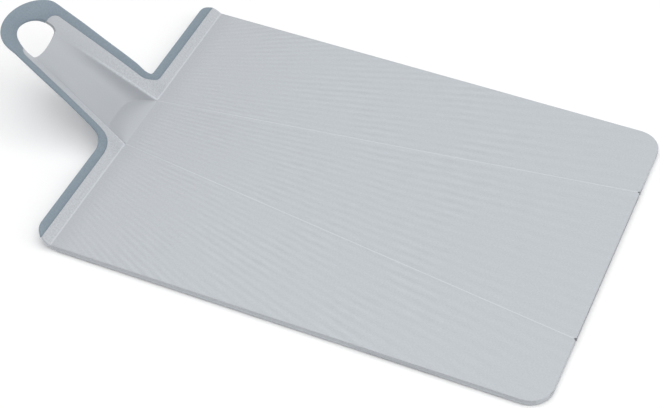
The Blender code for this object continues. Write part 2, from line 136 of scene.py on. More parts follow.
hole = {
    "radius": 17.2,
    "centre": 93.0,
    "base": 86.0,
    "baseRadius": 57.0,
    "cheek": 11.0,  # how far it runs back from its centre before the corners
    "cornerSoftness": 0.9,
    "shellEnd": 98.5,
    "shellEndRadius": 6.0,
}

hingeLean = (hinge["far"] - hinge["near"]) / board["length"]
ridgeLean = (handle["ridgeTip"] - handle["ridgeNear"]) / handle["length"]
shellCorner = hole["shellEnd"] - hole["shellEndRadius"]  # where the bare shell's end starts to turn
tipStart = handle["length"] - handle["tipLength"]
holeStart = math.degrees(math.asin((hole["shellEnd"] - hole["centre"]) / hole["radius"]))
cornerCentre = (
    handle["lip"] + rim["shoulderWidth"] - rim["shoulderRadius"],
    board["half"] - rim["shoulderRadius"],
)


def easeIn(value, low, high):
    t = min(max((value - low) / (high - low), 0.0), 1.0)
    return t * t * (3 - 2 * t)


def crossing(beyond, high=60.0):  # the place between 0 and high where a test turns true
    low = 0.0
    for _ in range(30):
        middle = (low + high) / 2
        low, high = (low, middle) if beyond(middle) else (middle, high)
    return low


def ridgeAt(s):  # the hinge on the board, and the scoop's ridge in line with it on the handle
    return hinge["near"] - hingeLean * s if s < 0 else handle["ridgeNear"] + ridgeLean * s


def slotAt(s):  # half the gap between two panels, which flares into a nick at the pouring edge
    flare = max(1 - (s + board["length"]) / hinge["nickDepth"], 0.0)
    return hinge["slot"] + hinge["nickFlare"] * flare


def plainHeight(s, w):  # of the handle's surface over its middle line
    if s <= 0:
        return 0.0
    if s > hole["centre"]:  # past the hole's centre the flanks fan round it
        w = max(math.hypot(s - hole["centre"], w), ridgeAt(hole["centre"]))
    at = min(s, hole["centre"])
    along = at / handle["length"]
    edge = ridgeAt(at)
    crest = -handle["ridgeDrop"] * along
    if w < edge:
        deep = handle["depthNear"] + (handle["depthTip"] - handle["depthNear"]) * along
        rounder = easeIn(at, *handle["floorPowerFade"])
        power = handle["floorPower"] + (handle["floorPowerTip"] - handle["floorPower"]) * rounder
        return -deep + (deep + crest) * (w / edge) ** power
    out = w - edge
    slope = (handle["flankSlope"] + handle["flankGain"] * at) * (1 - math.exp(-at / handle["flankGrowth"]))
    intoLip = easeIn(w, *handle["lipBlend"]) * (1 - easeIn(s, *handle["lipBlendEnd"]))
    turn = handle["curlLength"]
    into = min(max(s - handle["curlStart"], 0.0), turn)
    past = max(s - handle["curlStart"] - turn, 0.0)
    curl = handle["curlSlope"] * (into * into / (2 * turn) + past)
    return (crest + slope * out * (1 - handle["flankCurve"] * out)) * (1 - intoLip) - curl


def heightAt(s, w):  # the same with the ridge rounded off
    soft = handle["ridgeRound"]
    if s > 0 and abs(w - ridgeAt(min(s, hole["centre"]))) < 2 * soft:
        return sum(plainHeight(s, w + soft * k / 2) for k in (-2, -1, 0, 1, 2)) / 5
    return plainHeight(s, w)


def steepness(s, w):  # how much longer than its thickness a wall is when measured upright
    step = 0.05
    alongS = (plainHeight(s + step, w) - plainHeight(s - step, w)) / (2 * step)
    alongW = (plainHeight(s, w + step) - plainHeight(s, max(w - step, 0))) / (2 * step)
    return min(math.sqrt(1 + alongS**2 + alongW**2), handle["steepest"])


def creaseLine(s):  # x and z of the folded middle line, and how far it has turned up
    tilt, radius = handle["tilt"], handle["creaseRadius"]
    reach = radius * math.tan(tilt / 2)
    if s <= -reach:
        return -s, 0.0, 0.0
    if s >= reach:
        return -s * math.cos(tilt), s * math.sin(tilt), tilt
    turn = tilt * (s + reach) / (2 * reach)
    return reach - radius * math.sin(turn), radius * (1 - math.cos(turn)), turn


def undersideLine(s):  # the same for the underside, which thins and turns up in one long curve
    (start, end), tilt = handle["underTurn"], handle["tilt"]
    if s <= start:
        return -s, -board["thickness"]
    if s >= end:
        x, z, _ = creaseLine(s)
        return x - handle["thickness"] * math.sin(tilt), z - handle["thickness"] * math.cos(tilt)
    pull = end - start
    t = (s - start) / pull
    x0, z0 = -start, -board["thickness"]
    x1, z1 = undersideLine(end)
    a, b = 2 * t**3 - 3 * t**2 + 1, t**3 - 2 * t**2 + t  # the shares of a smooth curve's two ends
    c, d = 3 * t**2 - 2 * t**3, t**3 - t**2
    x = a * x0 - b * pull + c * x1 - d * pull * math.cos(tilt)
    z = a * z0 + c * z1 + d * pull * math.sin(tilt)
    return x, z


def foldShell(s, w, n):  # n runs from 0 on top to the board's thickness underneath
    across = abs(w)
    x, z, turn = creaseLine(s)
    lift = heightAt(s, across)
    share = -n / board["thickness"]
    low = lift - handle["thickness"] * (steepness(s, across) - 1)
    underX, underZ = undersideLine(s)
    top = (x + lift * math.sin(turn), z + lift * math.cos(turn))
    bottom = (underX + low * math.sin(turn), underZ + low * math.cos(turn))
    return (
        creaseX + top[0] * (1 - share) + bottom[0] * share,
        w,
        boardTop + top[1] * (1 - share) + bottom[1] * share,
    )


def foldRim(s, w, n):  # n is the height over the handle's face
    across = abs(w)
    x, z, turn = creaseLine(s)
    below = min(max(-n / handle["thickness"], 0.0), 1.0)
    lift = heightAt(s, across) + n * (1 + (steepness(s, across) - 1) * below)
    return creaseX + x + lift * math.sin(turn), w, boardTop + z + lift * math.cos(turn)


def layFlat(s, w, n):
    return creaseX - s, w, boardTop + n


def rampReach(w):  # how far the ramp runs before the scoop's wall rises out of it
    fall = math.tan(handle["tilt"])
    return crossing(lambda s: plainHeight(s, w) > -s * fall) / math.cos(handle["tilt"])


def between(a, b, share):
    return a[0] + (b[0] - a[0]) * share, a[1] + (b[1] - a[1]) * share


# An outline is a list of (s, w). The rim's outer and inner edge are cut into the same steps.
rimSteps = {"corner": 10, "shoulder": 14, "notch": 14, "side": 36, "bend": 6, "cross": 4, "tip": 24}
seamTurn = 89.8  # degrees; a short last step up to 90 keeps the seam between the halves smooth


def line(start, end, count):
    return [between(start, end, i / count) for i in range(count + 1)]


def arc(centre, radii, first, last, count):  # angles in degrees from the direction of +w towards +s
    points = []
    for i in range(count + 1):
        turn = math.radians(first + (last - first) * i / count)
        points.append((centre[0] + radii[0] * math.sin(turn), centre[1] + radii[1] * math.cos(turn)))
    return points


def join(*runs):
    points = list(runs[0])
    for run in runs[1:]:
        points += run[1:]
    return points


def rimLine(s, inset):  # the handle's side, or a line inside it
    along, atTip = rim["flare"]
    flare = along * easeIn(s, *rim["flareNear"]) + atTip * easeIn(s, *rim["flareTip"])
    return handle["halfAtCrease"] - inset - handle["taper"] * s + (flare if inset == 0 else 0.0)


def notchArc(depth, inset, radius):  # from the shoulder's line round to the handle's side
    lean = math.hypot(1, handle["taper"])
    centre = (depth + radius, rimLine(depth + radius, inset) + radius * lean)
    last = 180 + math.degrees(math.atan(handle["taper"]))
    return arc(centre, (radius, radius), 270, last, rimSteps["notch"])


notchOuter = notchArc(handle["lip"] + rim["shoulderWidth"], 0, rim["notchRadius"])
notchInner = notchArc(handle["lip"], rim["width"], rim["notchRadius"] + rim["width"])


def outerEdge():  # the rim's outside, from the shoulder's corner to the middle of the tip
    depth = handle["lip"] + rim["shoulderWidth"]
    atLip = math.degrees(math.asin((handle["lip"] - cornerCentre[0]) / rim["shoulderRadius"]))
    startTurn = 3  # degrees past the lip, where the rim is wide enough to show
    crossTurn = 14  # degrees of the tip that face the shell's end
    half = rimLine(tipStart, 0)
    tipRadii = (handle["tipLength"], half)
    return join(
        arc(cornerCentre, (rim["shoulderRadius"],) * 2, atLip + startTurn, 90, rimSteps["corner"]),
        line((depth, cornerCentre[1]), notchOuter[0], rimSteps["shoulder"]),
        notchOuter,
        [(s, rimLine(s, 0)) for s, _ in line(notchOuter[-1], (shellCorner, 0), rimSteps["side"])],
        line((shellCorner, rimLine(shellCorner, 0)), (tipStart, half), rimSteps["bend"]),
        arc((tipStart, 0), tipRadii, 0, crossTurn, rimSteps["cross"]),
        arc((tipStart, 0), tipRadii, crossTurn, seamTurn, rimSteps["tip"]),
        arc((tipStart, 0), tipRadii, seamTurn, 90, 1),
    )


def innerEdge():  # the rim's inside: along the lip and the handle, then round the tip side of the hole
    lip, end, radius = handle["lip"], hole["shellEnd"], hole["shellEndRadius"]
    turnW = rimLine(shellCorner, rim["width"]) - radius
    atHole = hole["radius"] * math.cos(math.radians(holeStart))
    radii = (hole["radius"],) * 2
    shoulderEnd = board["half"] - 1.6  # where the rim starts on the rounded corner
    return join(
        line((lip, shoulderEnd), (lip, cornerCentre[1]), rimSteps["corner"]),
        line((lip, cornerCentre[1]), notchInner[0], rimSteps["shoulder"]),
        notchInner,
        line(notchInner[-1], (shellCorner, turnW + radius), rimSteps["side"]),
        arc((shellCorner, turnW), (radius, radius), 0, 90, rimSteps["bend"]),
        line((end, turnW), (end, atHole), rimSteps["cross"]),
        arc((hole["centre"], 0), radii, holeStart, seamTurn, rimSteps["tip"]),
        arc((hole["centre"], 0), radii, seamTurn, 90, 1),
    )


def addPatch(bm, rungs):  # a grid laid over the rungs, each a list of (s, w) or (s, w, n)
    rows, columns = len(rungs) - 1, len(rungs[0]) - 1
    made = bmesh.ops.create_grid(bm, x_segments=rows, y_segments=columns, size=0.5)["verts"]
    for v in made:
        spot = rungs[round((v.co.x + 0.5) * rows)][round((v.co.y + 0.5) * columns)]
        v.co = (spot[0], spot[1], spot[2] if len(spot) > 2 else 0.0)


def weld(bm, distance=0.004):
    bmesh.ops.remove_doubles(bm, verts=bm.verts, dist=distance)


def thicken(bm, depth):  # a closed plate from n = 0 down to n = -depth
    bmesh.ops.recalc_face_normals(bm, faces=bm.faces)
    made = bmesh.ops.extrude_face_region(bm, geom=bm.faces[:])["geom"]
    for v in made:
        if isinstance(v, bmesh.types.BMVert):
            v.co.z = -depth
    bmesh.ops.recalc_face_normals(bm, faces=bm.faces)


def roundEdges(bm, width, segments, wanted):  # the upper and lower edges of a plate
    edges = [
        e
        for e in bm.edges
        if len(e.link_faces) == 2
        and e.calc_face_angle(0.0) > math.radians(60)
        and abs(e.verts[0].co.z - e.verts[1].co.z) < 0.01
        and wanted(*e.verts)
    ]
    bmesh.ops.bevel(
        bm,
        geom=edges,
        offset=width,
        offset_type="OFFSET",
        segments=segments,
        profile=0.5,
        affect="EDGES",
        material=-1,
        clamp_overlap=True,
    )


def underCut(v, near):  # how far a point of a panel, this near the hinge's slot, stands back from it
    top = hinge["underCutTop"]
    if near > hinge["underCutReach"] or v.co.z > -1:
        return 0.0
    return hinge["underCut"] * ((-v.co.z - top) / (board["thickness"] - top))


def finishPiece(bm, name, place, material, side=1, smooth=35):
    layout = bm.verts.layers.float_vector.new("flat")  # the finish is laid on before the piece is folded
    facing = bm.verts.layers.float.new("facing")  # 1 on top, 0 on an edge and -1 underneath
    bm.normal_update()
    for v in bm.verts:
        v[layout] = v.co
        v[facing] = v.normal.z
        v.co = Vector(place(*v.co)) * mm
        v.co.y *= side
    weld(bm, 1e-6)
    bmesh.ops.recalc_face_normals(bm, faces=bm.faces)
    mesh = bpy.data.meshes.new(name)
    bm.to_mesh(mesh)
    bm.free()
    mesh.materials.append(material)
    mesh.shade_smooth()
    mesh.set_sharp_from_angle(angle=math.radians(smooth))
    piece = bpy.data.objects.new(name, mesh)
    scene.collection.objects.link(piece)
    return piece


def giveWay(piece):  # the piece, which runs from the handle to the side board, has its placement baked into its mesh
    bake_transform(piece)


class Wire:  # a socket that can stand in a sum
    def __init__(self, finish, socket):
        self.finish, self.socket = finish, socket

    def __add__(self, other):
        return self.finish.maths("ADD", self, other)

    def __radd__(self, other):
        return self.finish.maths("ADD", other, self)

    def __sub__(self, other):
        return self.finish.maths("SUBTRACT", self, other)

    def __rsub__(self, other):
        return self.finish.maths("SUBTRACT", other, self)

    def __mul__(self, other):
        return self.finish.maths("MULTIPLY", self, other)

    def __rmul__(self, other):
        return self.finish.maths("MULTIPLY", other, self)

    def __truediv__(self, other):
        return self.finish.maths("DIVIDE", self, other)

    def __gt__(self, other):
        return self.finish.maths("GREATER_THAN", self, other)

    def __lt__(self, other):
        return self.finish.maths("LESS_THAN", self, other)


def linear(*tone):  # a colour read off a screen, 0 to 255, as the shader wants it
    return tuple((c / 255 / 12.92) if c <= 10 else ((c / 255 + 0.055) / 1.055) ** 2.4 for c in tone)


class Finish:  # a material, built on its Principled BSDF
    def __init__(self, name, look, flat=True):
        self.material = bpy.data.materials.new(name)
        self.material.use_nodes = True
        self.tree = self.material.node_tree
        self.shader = self.tree.nodes["Principled BSDF"]
        self.shader.inputs["IOR"].default_value = look["ior"]
        if flat:
            self.spot = self.node("Attribute", {"attribute_name": "flat"}, None, "Vector")
            self.facing = self.node("Attribute", {"attribute_name": "facing"}, None, "Fac")
            self.s, self.w = (self.node("SeparateXYZ", None, {0: self.spot}, k) for k in (0, 1))
        else:
            here = self.node("TexCoord", None, None, "Object")
            self.spot = self.node("VectorMath", {"operation": "SCALE"}, {0: here, "Scale": 1 / mm})

    def node(self, kind, settings=None, sockets=None, output=0):
        made = self.tree.nodes.new("ShaderNode" + kind)
        for key, value in (settings or {}).items():
            setattr(made, key, value)
        for key, value in (sockets or {}).items():
            self.plug(made.inputs[key], value)
        return Wire(self, made.outputs[output])

    def plug(self, socket, value):
        if isinstance(value, Wire):
            self.tree.links.new(value.socket, socket)
        else:
            socket.default_value = value

    def maths(self, operation, *values):
        return self.node("Math", {"operation": operation}, dict(enumerate(values)))

    def noise(self, scale, detail, rough, spot=None):  # between -0.5 and 0.5
        sockets = {"Vector": spot or self.spot, "Scale": scale, "Detail": detail, "Roughness": rough}
        return self.node("TexNoise", None, sockets, "Fac") - 0.5

    def rise(self, value, low, high):  # from 0 at low to 1 at high
        sockets = {"Value": value, "From Min": low, "From Max": high}
        return self.node("MapRange", {"interpolation_type": "SMOOTHSTEP"}, sockets, "Result")

    def tint(self, share, first, second):  # a colour between two, by a share from 0 to 1
        sockets = {0: share, 6: (*linear(*first), 1), 7: (*linear(*second), 1)}
        return self.node("Mix", {"data_type": "RGBA", "clamp_factor": True}, sockets, 2)

    def shade(self, colour, amount):  # a colour times a grey value
        grey = self.node("CombineColor", None, {0: amount, 1: amount, 2: amount})
        settings = {"data_type": "RGBA", "blend_type": "MULTIPLY", "clamp_factor": True}
        return self.node("Mix", settings, {0: 1.0, 6: colour, 7: grey}, 2)

    def surface(self, colour, roughness, relief):  # relief in millimetres
        self.plug(self.shader.inputs["Base Color"], colour)
        self.plug(self.shader.inputs["Roughness"], roughness)
        bump = self.node("Bump", None, {"Height": relief, "Strength": 1.0, "Distance": mm})
        self.plug(self.shader.inputs["Normal"], bump)
        return self.material


plasticLook = {
    "ior": 1.47,
    "tone": (186, 191, 196),
    "handleTone": (185, 189, 194),
    "toneFade": (20.0, 110.0),
    "roughness": 0.42,
    "fanStep": 1.03,  # degrees between the fine lines that fan out over the board
    "fanDrift": 5.0,  # how far they stray from even spacing
    "driftNoise": (0.012, 1.0, 0.5),  # a noise is given as its scale, detail and roughness
    "fanEven": 0.5,  # the even part of them, and the broken streaks over it
    "fanStreak": 2.0,
    "streakScale": (0.3, 0.08),  # across the lines and along them
    "streakNoise": (1.0, 2.0, 0.5),
    "patchNoise": (0.02, 2.0, 0.5),  # they are stronger in some patches
    "patchFrom": (-0.2, 0.15),
    "patchStrength": (0.35, 1.3),  # at the weakest, and how much is added
    "fanShade": 0.042,
    "fanDepth": 0.006,  # millimetres
    "fanStart": (2.0, 12.0),  # they come in at this distance from the crease
    "fanFade": (400.0, 530.0),  # and weaken this far from where the hinges' lines meet
    "fanLeft": 0.35,
    "scoopShade": -0.045,  # the scoop is a little darker, and painted shade makes its lower end, by the ramp, darker still
    "scoopLowShade": -0.03,
    "scoopLowEnd": (22.0, 55.0),
    "lipShade": 0.03,  # and the grained lip and flanks near the crease lighter
    "lipFade": (25.0, 70.0),
    "grainNoise": (0.75, 3.0, 0.7),
    "grainDepth": 0.005,
    "grainGloss": 0.12,
    "boardGrain": 0.3,  # fine grain on the board, on the lip and less on the flanks
    "stipple": 0.75,
    "flankGrain": 0.25,
    "stippleDepth": 0.03,
    "stippleGloss": 0.1,
    "cloudNoise": (0.006, 3.0, 0.6),  # broad, faint changes of tone
    "cloudShade": 0.012,
    "cloudGloss": 0.05,
    "creaseLine": 0.2,  # painted highlights: bright lines along the crease, fainter at the ramp, and along the ridges
    "rampHighlight": 0.07,
    "creaseHighlightEdge": (0.3, 0.8),
    "ridgeHighlight": 0.17,
    "ridgeHighlightAt": 0.75,  # outside the ridge
    "ridgeHighlightEdge": (0.35, 0.95),
    "ridgeHighlightFade": (35.0, 76.0),
    "holeShade": -0.3,  # painted shade on the hole's cut edge
    "sideShade": -0.12,  # painted shade on the board's sides
    "endShade": -0.42,  # and painted shade on its pouring edge
    "creaseShade": -0.05,  # painted shade on the board right beside the crease
    "creaseFade": (1.5, 18.0),
    "rampDark": -0.17,  # painted shade on the ramp towards its end
    "rampDarkFrom": (0.05, 0.95),
    "rampDarkPower": 2.6,
}


def makePlastic(name, look, withRamp):  # the middle board runs on into the ramp, the others into the scoop
    finish = Finish(name, look)
    s, across = finish.s, finish.maths("ABSOLUTE", finish.w)
    fromCrease = s * -1
    onTop = finish.facing > 0.3
    onHandle = finish.rise(s, 0.2, 0.8)
    grain = finish.noise(*look["grainNoise"])
    cloud = finish.noise(*look["cloudNoise"])

    # fine lines over the board, all from the point where the two hinges' lines meet
    away = hinge["near"] / hingeLean - s
    turns = finish.maths("ARCTAN2", finish.w, away) * (360 / look["fanStep"])
    wave = finish.maths("SINE", turns + finish.noise(*look["driftNoise"]) * look["fanDrift"])
    scaleAcross, scaleAlong = look["streakScale"]
    streakSpot = finish.node("CombineXYZ", None, {0: turns * scaleAcross, 1: away * scaleAlong})
    streak = finish.noise(*look["streakNoise"], streakSpot)
    fade = 1 - finish.rise(away, *look["fanFade"]) * (1 - look["fanLeft"])
    weakest, added = look["patchStrength"]
    patches = finish.rise(finish.noise(*look["patchNoise"]), *look["patchFrom"]) * added + weakest
    fan = (wave * look["fanEven"] + streak * look["fanStreak"]) * fade * patches
    fan = fan * finish.rise(fromCrease, *look["fanStart"]) * onTop

    beyond = across - ridgeAt(0) - s * ridgeLean  # distance outside the ridge
    outside = finish.rise(beyond, -0.5, 0.1)
    inside = onHandle * (1 - outside) * onTop
    nearLip = 1 - finish.rise(s, *look["lipFade"])
    # painted highlight along the ridges, just outside their crests, fading up the handle
    ridge = 1 - finish.rise(finish.maths("ABSOLUTE", beyond - look["ridgeHighlightAt"]), *look["ridgeHighlightEdge"])
    ridge = ridge * onHandle * onTop * (1 - finish.rise(s, *look["ridgeHighlightFade"]))
    # painted highlight along the crease, fainter over the ramp
    crease = (1 - finish.rise(finish.maths("ABSOLUTE", s), *look["creaseHighlightEdge"])) * onTop
    # painted shade on the board beside the crease, where the lip rises
    beside = (1 - finish.rise(fromCrease, *look["creaseFade"])) * (1 - onHandle) * onTop

    # painted shade on upright faces: the hole's cut edge, the pouring edge and the board's sides
    upright = 1 - finish.rise(finish.maths("ABSOLUTE", finish.facing), 0.2, 0.8)
    endBand, sideBand, cutBand = 1.0, 3.0, 9.0
    cut = upright * (s > hole["base"] - sideBand) * (beyond < cutBand)
    end = upright * (s < endBand - board["length"])
    edge = upright * (1 - onHandle) * (across > board["half"] - sideBand) * (1 - end)

    rough = onHandle * outside * (nearLip * (look["stipple"] - look["flankGrain"]) + look["flankGrain"])
    amount = (
        1
        + fan * look["fanShade"]
        + cloud * look["cloudShade"]
        + grain * (rough + (1 - onHandle) * look["boardGrain"])
        + cut * look["holeShade"]
        + edge * look["sideShade"]
        + end * look["endShade"]
        + beside * look["creaseShade"]
        + onHandle * outside * nearLip * look["lipShade"]
        + ridge * look["ridgeHighlight"]
        + crease * (outside * (look["creaseLine"] - look["rampHighlight"]) + look["rampHighlight"])
    )
    if withRamp:  # its end is an arc, further up in the middle than at the sides
        # painted shade on the ramp, deepening towards its end
        bow = 1 - finish.maths("POWER", across / ridgeAt(0), look["rampDarkPower"])
        ending = finish.rise(s / (rampReach(0.0) * bow + 0.5), *look["rampDarkFrom"])
        amount = amount + inside * ending * look["rampDark"]
    else:
        # painted shade at the scoop's lower end, by the ramp
        low = 1 - finish.rise(s, *look["scoopLowEnd"])
        amount = amount + inside * (low * look["scoopLowShade"] + look["scoopShade"])
    base = finish.tint(finish.rise(fromCrease, *look["toneFade"]), look["handleTone"], look["tone"])
    gloss = look["roughness"] + grain * look["grainGloss"] + cloud * look["cloudGloss"]
    gloss = gloss + rough * look["stippleGloss"]
    relief = fan * look["fanDepth"] + grain * (rough * look["stippleDepth"] + look["grainDepth"])
    return finish.surface(finish.shade(base, amount), gloss, relief)


hingeLook = {
    "ior": 1.47,
    "tone": (196, 201, 205),
    "pale": (201, 206, 209),
    "roughness": 0.4,
    "paleFrom": (10.0, 80.0),  # the hinge is darker near the crease, and whiter from here on
    "dullShade": -0.09,
    "grainNoise": (0.7, 2.0, 0.5),
    "grainShade": 0.02,
    "grainDepth": 0.01,
    "strainNoise": (0.06, 3.0, 0.6),
    "strainGloss": 0.15,
}


def makeHinge(name, look):
    finish = Finish(name, look)
    grain = finish.noise(*look["grainNoise"])
    strain = finish.noise(*look["strainNoise"])
    base = finish.tint(strain + 0.5, look["tone"], look["pale"])
    dull = 1 - finish.rise(finish.s * -1, *look["paleFrom"])
    amount = 1 + grain * look["grainShade"] + dull * look["dullShade"]
    gloss = look["roughness"] + strain * look["strainGloss"]
    return finish.surface(finish.shade(base, amount), gloss, grain * look["grainDepth"])


softLook = {  # what the rim and the feet share
    "ior": 1.45,
    "grainNoise": (0.75, 3.0, 0.7),
    "grainShade": 0.45,
    "grainGloss": 0.2,
    "grainDepth": 0.03,
    "cloudNoise": (0.022, 3.0, 0.6),
    "cloudGloss": 0.08,
}
rimLook = {
    **softLook,
    "tone": (135, 149, 161),
    "pale": (140, 154, 165),
    "roughness": 0.55,
    "edgeShade": -0.1,  # painted shade: the rounded edges are a little darker
    "edgeFrom": (0.2, 0.75),
}
footLook = {
    **softLook,
    "tone": (121, 132, 141),
    "pale": (129, 139, 147),
    "roughness": 0.75,
}


def makeSoft(name, look, flat=True):
    finish = Finish(name, look, flat)
    grain = finish.noise(*look["grainNoise"])
    cloud = finish.noise(*look["cloudNoise"])
    base = finish.tint(cloud + 0.5, look["tone"], look["pale"])
    gloss = look["roughness"] + grain * look["grainGloss"] + cloud * look["cloudGloss"]
    amount = 1 + grain * look["grainShade"]
    if flat:
        # painted shade on the rounded edges
        amount = amount + (1 - finish.rise(finish.facing, *look["edgeFrom"])) * look["edgeShade"]
    return finish.surface(finish.shade(base, amount), gloss, grain * look["grainDepth"])


plastic = makePlastic("boardPlastic", plasticLook, False)
middlePlastic = makePlastic("middlePlastic", plasticLook, True)
hingePlastic = makeHinge("hingePlastic", hingeLook)
softRim = makeSoft("softRim", rimLook)
rubberFoot = makeSoft("rubberFoot", footLook, flat=False)
print("materials made")


# Each side board is one sheet with its half of the handle. Its points lie at these shares of a rung's
# width, in the scoop, on the flank with the inner part of the board, and on the outer part.
floorShares = (0, 0.004, 0.12, 0.24, 0.36, 0.47, 0.57, 0.66, 0.74, 0.81, 0.87, 0.92, 0.955, 0.98, 1)
flankShares = (0, 0.03, 0.07, 0.13, 0.2, 0.29, 0.39, 0.5, 0.61, 0.72, 0.82, 0.91, 0.97, 1)
shoulderShares = (0, 0.06, 0.2, 0.4, 0.6, 0.8, 0.93, 0.985, 1)


def boardStations():  # places along the board, from the pouring edge to the crease
    length, radius = board["length"], board["farRadius"]
    turns = [radius * (1 - math.cos(math.radians(a))) for a in (0, 8, 18, 30, 42, 54, 66, 78, 90)]
    stations = [-length + t for t in turns]
    stations += [-length + radius + (length - radius - 9) * i / 11 for i in range(1, 12)]
    return stations + [-6.5, -4.5, -2.8, -1.6, -0.9]


def creaseStations():  # round the crease's bend
    reach = handle["creaseRadius"] * math.tan(handle["tilt"] / 2)
    return [-reach, -reach * 0.6, -reach * 0.2, 0.0, reach * 0.3, reach * 0.65, reach]


def lipStations():
    return [1.5, 2.5, 3.6, 4.8, 6.0, 7.0, handle["lip"]]


def boardSide(s):  # the board's side edge, with its rounded corners
    length, radius, half = board["length"], board["farRadius"], board["half"]
    if s < -length + radius:
        return half - radius + math.sqrt(max(radius**2 - (s + length - radius) ** 2, 0.0))
    if s > cornerCentre[0]:
        return cornerCentre[1] + math.sqrt(rim["shoulderRadius"] ** 2 - (s - cornerCentre[0]) ** 2)
    return half


def wallFoot(share):  # where along the handle the wall's lower edge is, for a share of the ridge's width
    rise, run = math.sin(handle["tilt"]), math.cos(handle["tilt"])
    s = crossing(lambda s: s * rise + plainHeight(s, share * ridgeAt(s)) * run > handle["wallFoot"])
    return s if s > 0.05 else 0.0


def pathPoint(path, distance):
    for a, b in zip(path, path[1:]):
        span = math.dist(a, b)
        if distance <= span or b is path[-1]:
            return between(a, b, min(max(distance / span, 0.0), 1.0))
        distance -= span


def pathLength(path):
    return sum(math.dist(a, b) for a, b in zip(path, path[1:]))


def softPoint(path, distance, total):  # the same point with the path's corners softened
    reach = min(hole["cornerSoftness"], distance, total - distance)
    spots = [pathPoint(path, distance + reach * k) for k in (-1, -0.5, 0, 0.5, 1)]
    return sum(p[0] for p in spots) / 5, sum(p[1] for p in spots) / 5


def holeEdge():  # the bare side of the hole, from the middle of its base to where the rim takes over
    radius, baseRadius = hole["radius"], hole["baseRadius"]

    def pastCorner(w):  # the base and the cheeks meet in a corner
        base = hole["base"] + baseRadius - math.sqrt(baseRadius**2 - w**2)
        return hole["centre"] - hole["cheek"] * math.sqrt(1 - (w / radius) ** 2) > base

    cornerW = crossing(pastCorner, radius)
    baseTurn = math.degrees(math.asin(cornerW / baseRadius))
    first = -math.degrees(math.acos(cornerW / radius))
    return join(
        arc((hole["base"] + baseRadius, 0), (baseRadius, baseRadius), 270, 270 + baseTurn, 40),
        arc((hole["centre"], 0), (hole["cheek"], radius), first, 0, 28),
        arc((hole["centre"], 0), (radius, radius), 0, holeStart, 14),
    )


def handleRungs():  # inner end, ridge and outer end of each rung from the notch to the shell's end
    levelCount, fanCount = 28, 26
    rungs = [((s, 0.0), (s, ridgeAt(s)), (s, w)) for s, w in notchInner[1:]]
    sideStart, levelEnd = notchInner[-1][0], handle["levelEnd"]
    for i in range(1, levelCount + 1):
        s = sideStart + (levelEnd - sideStart) * i / levelCount
        rungs.append(((s, 0.0), (s, ridgeAt(s)), (s, rimLine(s, rim["width"]))))
    radius = hole["shellEndRadius"]
    turnW = rimLine(shellCorner, rim["width"]) - radius
    outer = join(
        line((levelEnd, rimLine(levelEnd, rim["width"])), (shellCorner, turnW + radius), 10),
        arc((shellCorner, turnW), (radius, radius), 0, 90, 12),
    )
    edge = holeEdge()
    inner = join([(levelEnd, 0.0), (hole["base"], 0.0)], edge)
    lead = hole["base"] - levelEnd
    innerTotal, outerTotal = pathLength(inner), pathLength(outer)
    for i in range(1, fanCount + 1):
        share = i / fanCount
        walked = innerTotal * share
        if walked <= lead + 0.01:
            start = pathPoint(inner, walked)
        else:
            start = softPoint(edge, walked - lead, innerTotal - lead)
        stop = pathPoint(outer, outerTotal * share)
        over = (ridgeAt(start[0]) - start[1]) / max(stop[1] - start[1], 0.1)
        rungs.append((start, between(start, stop, max(over, handle["leastScoop"])), stop))
    return rungs


def floorSpot(s, share, foot):  # a rung in the scoop starts on the wall's lower edge
    at = foot + s * (1 - foot / handle["levelFrom"])
    return at, share * ridgeAt(at)


def onFoot(v, feet):  # on the wall's lower edge, hidden in the ramp
    share = v.co.y / ridgeAt(v.co.x)
    if share > 1.001 or v.co.x > 25:
        return False
    for low, high, a, b in zip(floorShares, floorShares[1:], feet, feet[1:]):
        if low <= share <= high + 0.001:
            return v.co.x < a + (b - a) * (share - low) / (high - low) + 0.6
    return False


def sideSheet():
    bm = bmesh.new()
    rungs = handleRungs()
    flank, shoulder = [], []
    lipWidth = notchInner[0][1] - ridgeAt(handle["lip"])
    for s in boardStations() + creaseStations() + lipStations():
        start = (s, ridgeAt(s) + (slotAt(s) if s < -0.3 else 0.0))
        middle = (s, ridgeAt(s) + lipWidth)
        flank.append([between(start, middle, k) for k in flankShares])
        shoulder.append([between(middle, (s, boardSide(s)), k) for k in shoulderShares])
    flank += [[between(crest, outer, k) for k in flankShares] for _, crest, outer in rungs]
    feet = [wallFoot(share) for share in floorShares]
    low = [s for s in creaseStations() + lipStations() if s >= 0]
    low += [inner[0] for inner, _, _ in rungs if inner[0] < handle["levelFrom"]]
    floor = [[floorSpot(s, share, foot) for share, foot in zip(floorShares, feet)] for s in low]
    level = [rung for rung in rungs if rung[0][0] >= handle["levelFrom"]]
    floor += [[between(inner, crest, k) for k in floorShares] for inner, crest, _ in level]
    for patch in (flank, shoulder, floor):
        addPatch(bm, patch)
    weld(bm)
    thicken(bm, board["thickness"])

    def byHinge(v):
        return v.co.x < -0.5 and v.co.y - ridgeAt(v.co.x) < slotAt(v.co.x) + 0.05

    def onSeam(v):  # where it meets the other half or the ramp
        return v.co.y < 0.01 or (v.co.x >= -0.5 and onFoot(v, feet))

    roundEdges(bm, hinge["edgeRound"], 2, lambda a, b: byHinge(a) and byHinge(b))
    roundEdges(
        bm,
        board["edgeRound"],
        3,
        lambda a, b: not (byHinge(a) and byHinge(b)) and not (onSeam(a) and onSeam(b)),
    )
    for v in bm.verts:
        if v.co.x < -0.3:
            near = v.co.y - ridgeAt(v.co.x) - slotAt(v.co.x)
            v.co.y += underCut(v, near) * min(-v.co.x / hinge["underCutFade"], 1)
    return bm


for side, word in sides:
    sheet = finishPiece(sideSheet(), word + "Board", foldShell, plastic, side)
    giveWay(sheet)
    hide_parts(word + "_panel", word + "_gusset", "handle_shell")
print("side boards and handle made")


